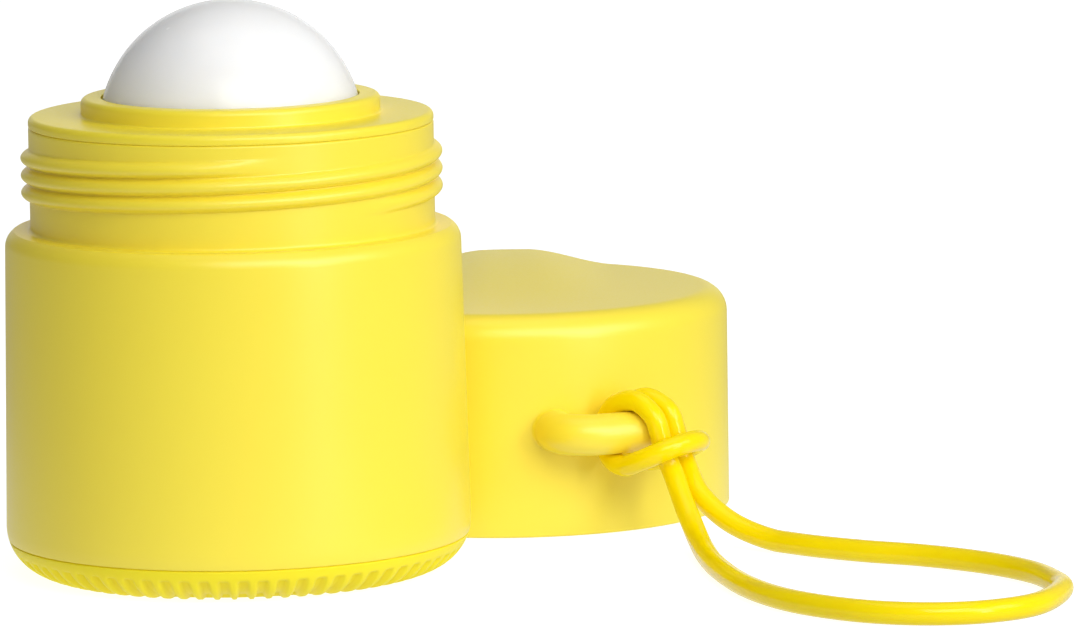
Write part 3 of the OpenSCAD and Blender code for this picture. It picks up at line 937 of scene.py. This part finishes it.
@dataclass
class ScrewCap:
    """Screw cap stood on its rim, with its inner thread, its liner and the bail for the loop."""

    cap_r: float = 30.2
    cap_h: float = 30.3
    cap_round: float = 3.5
    bore_r: float = 28.2
    roof_z: float = 28.9
    dome_z: float = 12.3
    dome_r: float = 17.75
    skirt_z: float = 15.5
    skirt_in_r: float = 20.2
    skirt_out_r: float = 23.4
    skirt_wall: float = 0.4
    liner_t: float = 1.2
    liner_seat: float = 0.5
    wave_h: float = 1.8
    wave_front: float = -24.0
    wave_back: float = 22.0
    wave_mid_x: float = 0.8
    wave_half_w: float = 14.5
    wave_flat: float = 0.2
    thread_lead: float = 4.6
    thread_starts: int = 2
    thread_h: float = 1.1
    thread_w: float = 1.9
    thread_sweep: float = 400.0
    thread_top: float = 11.8
    thread_from: float = 40.0
    bail_d: float = 5.6
    bail_gap: float = 3.2
    bail_z: float = 14.7
    bail_from: float = 8.5
    bail_to: float = 33.0
    bail_bend: float = 4.0
    bail_fillet: float = 0.7
    segments: int = 288

    def axis(self) -> np.ndarray:
        """Returns the place of the cap's axis on the surface, from the frame."""
        low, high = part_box("cap_gasket")
        return np.array(((low.x + high.x) / 2, (low.y + high.y) / 2, 0)) / MM

    def wave(self, x: np.ndarray, y: np.ndarray) -> np.ndarray:
        """Returns the height of the soft wave over the cap's low side.

        Args:
            x: Distance to the right of the cap's axis.
            y: Distance behind it.
        """
        def smooth(t: np.ndarray) -> np.ndarray:
            """Returns a smooth rise from 0 to 1."""
            t = np.clip(t, 0, 1)
            return t * t * (3 - 2 * t)
        back = smooth((y - self.wave_front) / (self.wave_back - self.wave_front))
        side = smooth((1 - abs(x - self.wave_mid_x) / self.wave_half_w) / (1 - self.wave_flat))
        return self.wave_h * back * side

    def outline(self) -> Outline:
        """Returns the cap's outline: over the outside from the rim, and back along the inside."""
        dome_edge = math.degrees(math.asin((self.roof_z - self.dome_z) / self.dome_r))
        dome = arc((0, self.dome_z), self.dome_r, 90, dome_edge, 8)
        crown_r = self.cap_r - self.cap_round
        rings = [(crown_r * k / 24, self.cap_h, 0.0) for k in range(1, 24)][::-1]
        groove_in = self.skirt_in_r + self.skirt_wall
        groove_out = self.skirt_out_r - self.skirt_wall
        bed = self.skirt_z + self.liner_seat
        corners = (
            [(0, dome[0][1], 0.0)] + [(r, z, 0.0) for r, z in dome[1:]]
            + [(self.skirt_in_r, self.roof_z, 0.5), (self.skirt_in_r, self.skirt_z, 0.1),
               (groove_in, self.skirt_z, 0.08), (groove_in, bed, 0.0), (groove_out, bed, 0.0),
               (groove_out, self.skirt_z, 0.08), (self.skirt_out_r, self.skirt_z, 0.1),
               (self.skirt_out_r, self.roof_z, 0.5), (self.bore_r, self.roof_z, 0.8),
               (self.bore_r, 0, 0.35), (self.cap_r, 0, 0.35),
               (self.cap_r, self.cap_h, self.cap_round)] + rings + [(0, self.cap_h, 0.0)])
        return rounded(corners, closed=False, step=8)

    def bail_line(self) -> np.ndarray:
        """Returns the middle line of the bail: out of the wall, round a corner, along and back."""
        bail_r = self.cap_r + self.bail_gap + self.bail_d / 2
        corner_r = bail_r - self.bail_bend
        corner = math.degrees(math.asin(self.bail_bend / corner_r))
        left = math.radians(self.bail_from + corner - 90)
        right = math.radians(self.bail_to - corner - 90)
        root = self.cap_r - 1.0
        legs = [math.radians(self.bail_from - 90), math.radians(self.bail_to - 90)]
        left_turn = arc((corner_r * math.cos(left), corner_r * math.sin(left)), self.bail_bend,
                        self.bail_from - 180, math.degrees(left), 14)
        right_turn = arc((corner_r * math.cos(right), corner_r * math.sin(right)), self.bail_bend,
                         math.degrees(right), self.bail_to, 14)
        bar = arc((0, 0), bail_r, math.degrees(left) + 1.2, math.degrees(right) - 1.2, 8)
        first = np.linspace((root * math.cos(legs[0]), root * math.sin(legs[0])), left_turn[0], 14)
        final = np.linspace(right_turn[-1], (root * math.cos(legs[1]), root * math.sin(legs[1])), 14)
        flat = np.vstack([first[:-1], left_turn, bar, right_turn, final[1:]])
        return np.column_stack([flat, np.full(len(flat), self.bail_z)])

    def bail_radii(self, line: np.ndarray) -> np.ndarray:
        """Returns the bail's radius along its line, with a fillet where a leg meets the wall."""
        clear = np.clip(np.hypot(line[:, 0], line[:, 1]) - self.cap_r + 0.25, 0, self.bail_fillet)
        flare = self.bail_fillet - np.sqrt(self.bail_fillet ** 2 - (self.bail_fillet - clear) ** 2)
        return self.bail_d / 2 + flare

    def make_cap(self, thread: bpy.types.NodeTree, finish: bpy.types.Material) -> bpy.types.Object:
        """Makes the cap with its inner thread and its bail.

        Args:
            thread: The tree that raises a screw thread.
            finish: The cap's finish.

        Returns:
            The cap.
        """
        outline = spaced(self.outline(), 0.15, high=self.skirt_z, near=self.bore_r, closed=False)
        piece = revolve("screw_cap", spaced(outline, 2.5, closed=False), self.segments, closed=False)
        count = len(piece.data.vertices)
        place = np.zeros(count * 3)
        piece.data.vertices.foreach_get("co", place)
        place = place.reshape(-1, 3) / MM
        crown_r = self.cap_r - self.cap_round
        away = np.hypot(place[:, 0], place[:, 1])
        pull = np.minimum(1, crown_r / np.maximum(away, 1e-6))
        low = self.cap_h - self.cap_round
        outer = (away > self.bore_r + 0.2) | (place[:, 2] > self.dome_z + self.dome_r + 0.05)
        share = np.where(outer, np.clip((place[:, 2] - low) / self.cap_round, 0, 1), 0)
        place[:, 2] += share * self.wave(place[:, 0] * pull, place[:, 1] * pull)
        points, faces = sweep(self.bail_line(), self.bail_radii(self.bail_line()), 40)
        bail = make_piece("bail", points, faces)
        piece.data.vertices.foreach_set("co", (place * MM).ravel())
        with bpy.context.temp_override(active_object=piece, selected_editable_objects=[piece, bail]):
            bpy.ops.object.join()
        axis = self.axis()
        piece.data.transform(Matrix.Translation(Vector(axis * MM)))
        run_tree(piece, thread, {
            "Finish": finish, "Wall Radius": self.bore_r * MM, "Height": -self.thread_h * MM,
            "Width": self.thread_w * MM, "Lead": self.thread_lead * MM,
            "Starts": float(self.thread_starts), "Sweep": math.radians(self.thread_sweep),
            "Top": self.thread_top * MM, "First Angle": math.radians(self.thread_from),
            "Axis X": axis[0] * MM, "Axis Y": axis[1] * MM})
        return fit_piece(piece, "cap_shell", Body.BASE)

    def make_liner(self, finish: bpy.types.Material) -> bpy.types.Object:
        """Makes the liner ring that seals on the flange.

        Args:
            finish: The liner's finish.

        Returns:
            The liner.
        """
        inner, outer = self.skirt_in_r + self.skirt_wall, self.skirt_out_r - self.skirt_wall
        top = self.skirt_z + self.liner_seat
        low = top - self.liner_t
        piece = revolve("cap_liner", rounded([
            (inner, low, 0.2), (outer, low, 0.2), (outer, top, 0.05), (inner, top, 0.05)]), 192)
        piece.data.transform(Matrix.Translation(Vector(self.axis() * MM)))
        return fit_piece(piece, "cap_gasket", Body.BASE, finish)


@dataclass
class WristLoop:
    """Silicone cord, hitched round the bail and laid on the surface in front.

    The route follows the solid's own, from the cap's axis on the surface, with the hitch drawn
    tighter. The cord is a little thinner there, where the pull of the hitch stretches it.
    """

    diameter: float = 3.0
    stretched: float = 0.96
    stretch_z: float = 7.0
    sides: int = 24
    steps: int = 10
    route: tuple = (
        # Up from the bail's eye, over the bar and down in front of it
        (13.5, -28.7, 15), (14.6, -29.3, 17.6), (16.9, -31.3, 19), (19.6, -33.3, 17.6),
        (20.5, -34, 15.2), (21, -34.3, 12.9), (21.9, -34.6, 10.4),
        # Down to the surface, along the far run and round the loop's end
        (23.6, -37.9, 6.7), (27.4, -41.3, 3.4), (32.6, -45.6, 1.6), (37.9, -51, 1.5),
        (44.2, -55.9, 1.5), (51.6, -60.4, 1.5), (58.9, -67, 1.5), (64, -74.6, 1.5),
        (66.2, -82, 1.5), (66.5, -88.5, 1.5), (62.4, -98.4, 1.5), (55.9, -103.2, 1.5),
        # Back along the near run and up to the hitch
        (48.6, -104.2, 1.5), (41.2, -101.9, 1.5), (34.8, -96.7, 1.5), (29.8, -89.6, 1.5),
        (26.1, -79.4, 1.5), (23.9, -66.8, 1.5), (23, -56, 1.6), (22.5, -46.8, 2.4),
        (21.3, -40.7, 5.6), (20, -36.9, 9.6), (18.9, -36.2, 12.4),
        # Over the bar beside the first strand, down through the eye and under the bar
        (18.4, -36, 14.6), (17.5, -35.5, 17.2), (15.2, -33.6, 19), (12.5, -31.1, 17.9),
        (11.2, -29.8, 14.7), (11.8, -31.9, 11.3), (13.5, -35.1, 10.4),
        # The band in front of both strands, back under the bail's corner and up into the eye
        (15.6, -37.9, 11.5), (18.1, -39, 12.7), (20.6, -38.5, 13.5), (22.7, -36.8, 13.8),
        (23.8, -34.2, 13.4), (23.1, -31, 12.4), (21.2, -28.6, 10.9), (17.9, -27.8, 10),
        (14.9, -28.2, 10.7), (13.7, -28.7, 12.8), (13.5, -28.7, 14.5))

    def line(self, cap_axis: np.ndarray) -> np.ndarray:
        """Returns the cord's smooth middle line, nowhere lower than its own radius.

        Args:
            cap_axis: The place of the cap's axis on the surface.
        """
        line = smooth_line(np.array(self.route, float) + cap_axis, self.steps)
        line[:, 2] = np.maximum(line[:, 2], self.diameter / 2)
        return line

    def make_cord(self, cap_axis: np.ndarray, finish: bpy.types.Material) -> bpy.types.Object:
        """Args:
            cap_axis: The place of the cap's axis on the surface.
            finish: The cord's finish.

        Returns:
            The cord.
        """
        line = self.line(cap_axis)
        tight = np.clip(line[:, 2] / self.stretch_z, 0, 1) ** 2
        radii = self.diameter / 2 * (1 - (1 - self.stretched) * tight)
        points, faces = sweep(line, radii, self.sides)
        piece = make_piece("loop_cord", points, faces)
        fit_piece(piece, "wrist_loop", Body.BASE, finish)
        return piece


@dataclass(frozen=True)
class Softbox:
    """A lamp behind a cloth front that faces the object."""

    name: str
    power: float
    width: float
    height: float
    turn: float
    lift: float
    away: float

    def hang(self, target: Vector) -> None:
        """Hangs the softbox.

        Args:
            target: The point that it faces.
        """
        data = bpy.data.lights.new(self.name, "AREA")
        data.shape = "RECTANGLE"
        data.size, data.size_y = self.width, self.height
        data.energy = self.power
        lamp = bpy.data.objects.new(self.name, data)
        bpy.context.scene.collection.objects.link(lamp)
        turn, lift = math.radians(self.turn), math.radians(self.lift)
        out = Vector((math.sin(turn) * math.cos(lift), -math.cos(turn) * math.cos(lift),
                      math.sin(lift)))
        lamp.matrix_world = (Matrix.Translation(target + out * self.away)
                             @ out.to_track_quat("Z", "Y").to_matrix().to_4x4())
        lamp.visible_camera = False


@dataclass
class Studio:
    """Pale floor, soft light from the front and the right, and the camera at the photograph's place."""

    floor_m: float = 8.0
    floor_z: float = -0.0001
    floor_grey: str = "#A0A0A0"
    floor_glow: float = 0.9
    bounce_near: float = 0.85
    bounce_far: float = 0.45
    bounce_from: float = 0.06
    bounce_to: float = 0.22
    ambient_left: float = 0.15
    ambient_right: float = 0.4
    sweep_from: float = 0.88
    sweep_to: float = 0.98
    key: Softbox = Softbox(
        "key_softbox", power=1.9, width=0.4, height=0.5, turn=62, lift=30, away=1.1)
    strip: Softbox = Softbox(
        "strip_softbox", power=3.5, width=0.25, height=0.7, turn=40, lift=17, away=1.1)
    fill: Softbox = Softbox(
        "fill_softbox", power=7.0, width=0.9, height=0.7, turn=12, lift=36, away=1.3)
    top: Softbox = Softbox(
        "top_softbox", power=1.1, width=0.7, height=0.7, turn=0, lift=88, away=0.9)
    target: tuple = (0.03, 0.0, 0.035)
    frame_px: tuple = (1080, 630)
    focal_px: float = 8000.0
    sensor_mm: float = 36.0
    camera_place: tuple = (-12.54, -1051.9, 180.27)
    camera_yaw: float = 2.888
    camera_pitch: float = 7.959
    camera_roll: float = -0.883
    near_clip: float = 0.05
    far_clip: float = 50

    def set_camera(self) -> None:
        """Sets the camera at the photograph's viewing angle."""
        yaw, pitch, roll = (math.radians(a) for a in (
            self.camera_yaw, self.camera_pitch, self.camera_roll))
        forward = Vector((math.sin(yaw) * math.cos(pitch), math.cos(yaw) * math.cos(pitch),
                          -math.sin(pitch)))
        level = Vector((math.cos(yaw), -math.sin(yaw), 0))
        upright = level.cross(forward)
        right = math.cos(roll) * level + math.sin(roll) * upright
        up = -math.sin(roll) * level + math.cos(roll) * upright
        data = bpy.data.cameras.new("camera")
        data.sensor_width = self.sensor_mm
        data.lens = self.focal_px / self.frame_px[0] * self.sensor_mm
        data.clip_start, data.clip_end = self.near_clip, self.far_clip
        camera = bpy.data.objects.new("camera", data)
        bpy.context.scene.collection.objects.link(camera)
        turned = Matrix((right, up, -forward)).transposed().to_4x4()
        camera.matrix_world = Matrix.Translation(Vector(self.camera_place) * MM) @ turned
        bpy.context.scene.camera = camera

    def seen(self, tree: bpy.types.NodeTree) -> bpy.types.NodeSocket:
        """Returns 1 for a ray that shows the background, direct or through the object.

        Args:
            tree: The tree that asks.
        """
        rays = add_node(tree, "ShaderNodeLightPath").node.outputs
        return add_node(tree, "ShaderNodeMath", {
            0: rays["Is Camera Ray"], 1: rays["Is Transmission Ray"]}, operation="MAXIMUM")

    def set_world(self) -> None:
        """Sets the surround: white behind the object, and a plain light that is less at the left.

        A glossy face mirrors the white sweep behind the object too.
        """
        world = bpy.data.worlds.new("white_surround")
        world.use_nodes = True
        tree = world.node_tree
        tree.nodes.clear()
        way = add_node(tree, "ShaderNodeTexCoord", output="Generated")
        parts = add_node(tree, "ShaderNodeSeparateXYZ", {0: way}).node.outputs
        level = add_node(tree, "ShaderNodeMapRange", {
            "Value": parts[0], "From Min": -1.0, "From Max": 1.0,
            "To Min": self.ambient_left, "To Max": self.ambient_right})
        sweep_level = add_node(tree, "ShaderNodeMapRange", {
            "Value": parts[1], "From Min": self.sweep_from, "From Max": self.sweep_to},
            interpolation_type="SMOOTHSTEP")
        mirrored = add_node(tree, "ShaderNodeMath", {0: level, 1: sweep_level}, operation="MAXIMUM")
        glossy = add_node(tree, "ShaderNodeLightPath", output="Is Glossy Ray")
        shown = add_node(tree, "ShaderNodeMix", {0: glossy, 2: level, 3: mirrored})
        lit = add_node(tree, "ShaderNodeBackground", {0: WHITE, 1: shown})
        white = add_node(tree, "ShaderNodeBackground", {0: WHITE, 1: 1.0})
        mixed = add_node(tree, "ShaderNodeMixShader", {0: self.seen(tree), 1: lit, 2: white})
        add_node(tree, "ShaderNodeOutputWorld", {"Surface": mixed})
        bpy.context.scene.world = world

    def set_floor(self) -> None:
        """Lays the white floor: it keeps a soft shadow, and throws light up near the object."""
        half = self.floor_m / 2
        mesh = bpy.data.meshes.new("floor")
        mesh.from_pydata([(x, y, self.floor_z) for x, y in (
            (-half, -half), (half, -half), (half, half), (-half, half))], [], [(0, 1, 2, 3)])
        floor = bpy.data.objects.new("floor", mesh)
        bpy.context.scene.collection.objects.link(floor)
        material, tree = new_material("white_paper_sweep")
        matte = add_node(tree, "ShaderNodeBsdfDiffuse", {"Color": linear(self.floor_grey)})
        white = add_node(tree, "ShaderNodeEmission", {
            "Color": WHITE, "Strength": self.floor_glow})
        shown = add_node(tree, "ShaderNodeAddShader", {0: matte, 1: white})
        place = add_node(tree, "ShaderNodeTexCoord", output="Object")
        away = add_node(tree, "ShaderNodeVectorMath", {0: place}, output="Value", operation="LENGTH")
        level = add_node(tree, "ShaderNodeMapRange", {
            "Value": away, "From Min": self.bounce_from, "From Max": self.bounce_to,
            "To Min": self.bounce_near, "To Max": self.bounce_far}, interpolation_type="SMOOTHSTEP")
        bounce = add_node(tree, "ShaderNodeEmission", {"Color": WHITE, "Strength": level})
        mixed = add_node(tree, "ShaderNodeMixShader", {0: self.seen(tree), 1: bounce, 2: shown})
        add_node(tree, "ShaderNodeOutputMaterial", {"Surface": mixed})
        mesh.materials.append(material)

    def build(self) -> None:
        """Sets the whole studio."""
        bpy.context.scene.view_settings.view_transform = "Standard"
        self.set_camera()
        self.set_world()
        self.set_floor()
        for softbox in (self.key, self.strip, self.fill, self.top):
            softbox.hang(Vector(self.target))


def main() -> None:
    """Builds the studio and every sub-assembly in order."""
    logging.basicConfig(level=logging.INFO, format="%(name)s: %(message)s")
    Studio().build()
    cap = ScrewCap()
    WristLoop().make_cord(cap.axis(), CastSilicone(
        "yellow_cord_silicone", "#FFE500", "#FEDE00", gloss=0.4).build())
    thread = screw_thread_tree()
    shell = MouldedPolypropylene("yellow_body_polypropylene", "#FBE741", "#F9E239").build()
    housing = MouldedPolypropylene("yellow_housing_polyethylene", "#FBE83C", "#F9E334").build()
    foot = MouldedPolypropylene(
        "yellow_base_polypropylene", "#FFEB2C", "#FDE724", roughness=0.46, glow=0.3, gloss=0.2).build()
    cap.make_cap(thread, shell)
    cap.make_liner(FoamedLiner().build())
    bottle = Bottle()
    bottle.make_body(thread, shell)
    bottle.make_housing(feed_hole_tree(bottle.feed_count), housing)
    bottle.make_ball(PolishedBallPlastic().build())
    base = RibbedBase()
    base.make_base(grip_rib_tree(), thread, foot)
    base.make_seal(CastSilicone("grey_seal_silicone", "#77777A", "#6C6C70", glow=0.0).build())


if __name__ == "__main__":
    main()
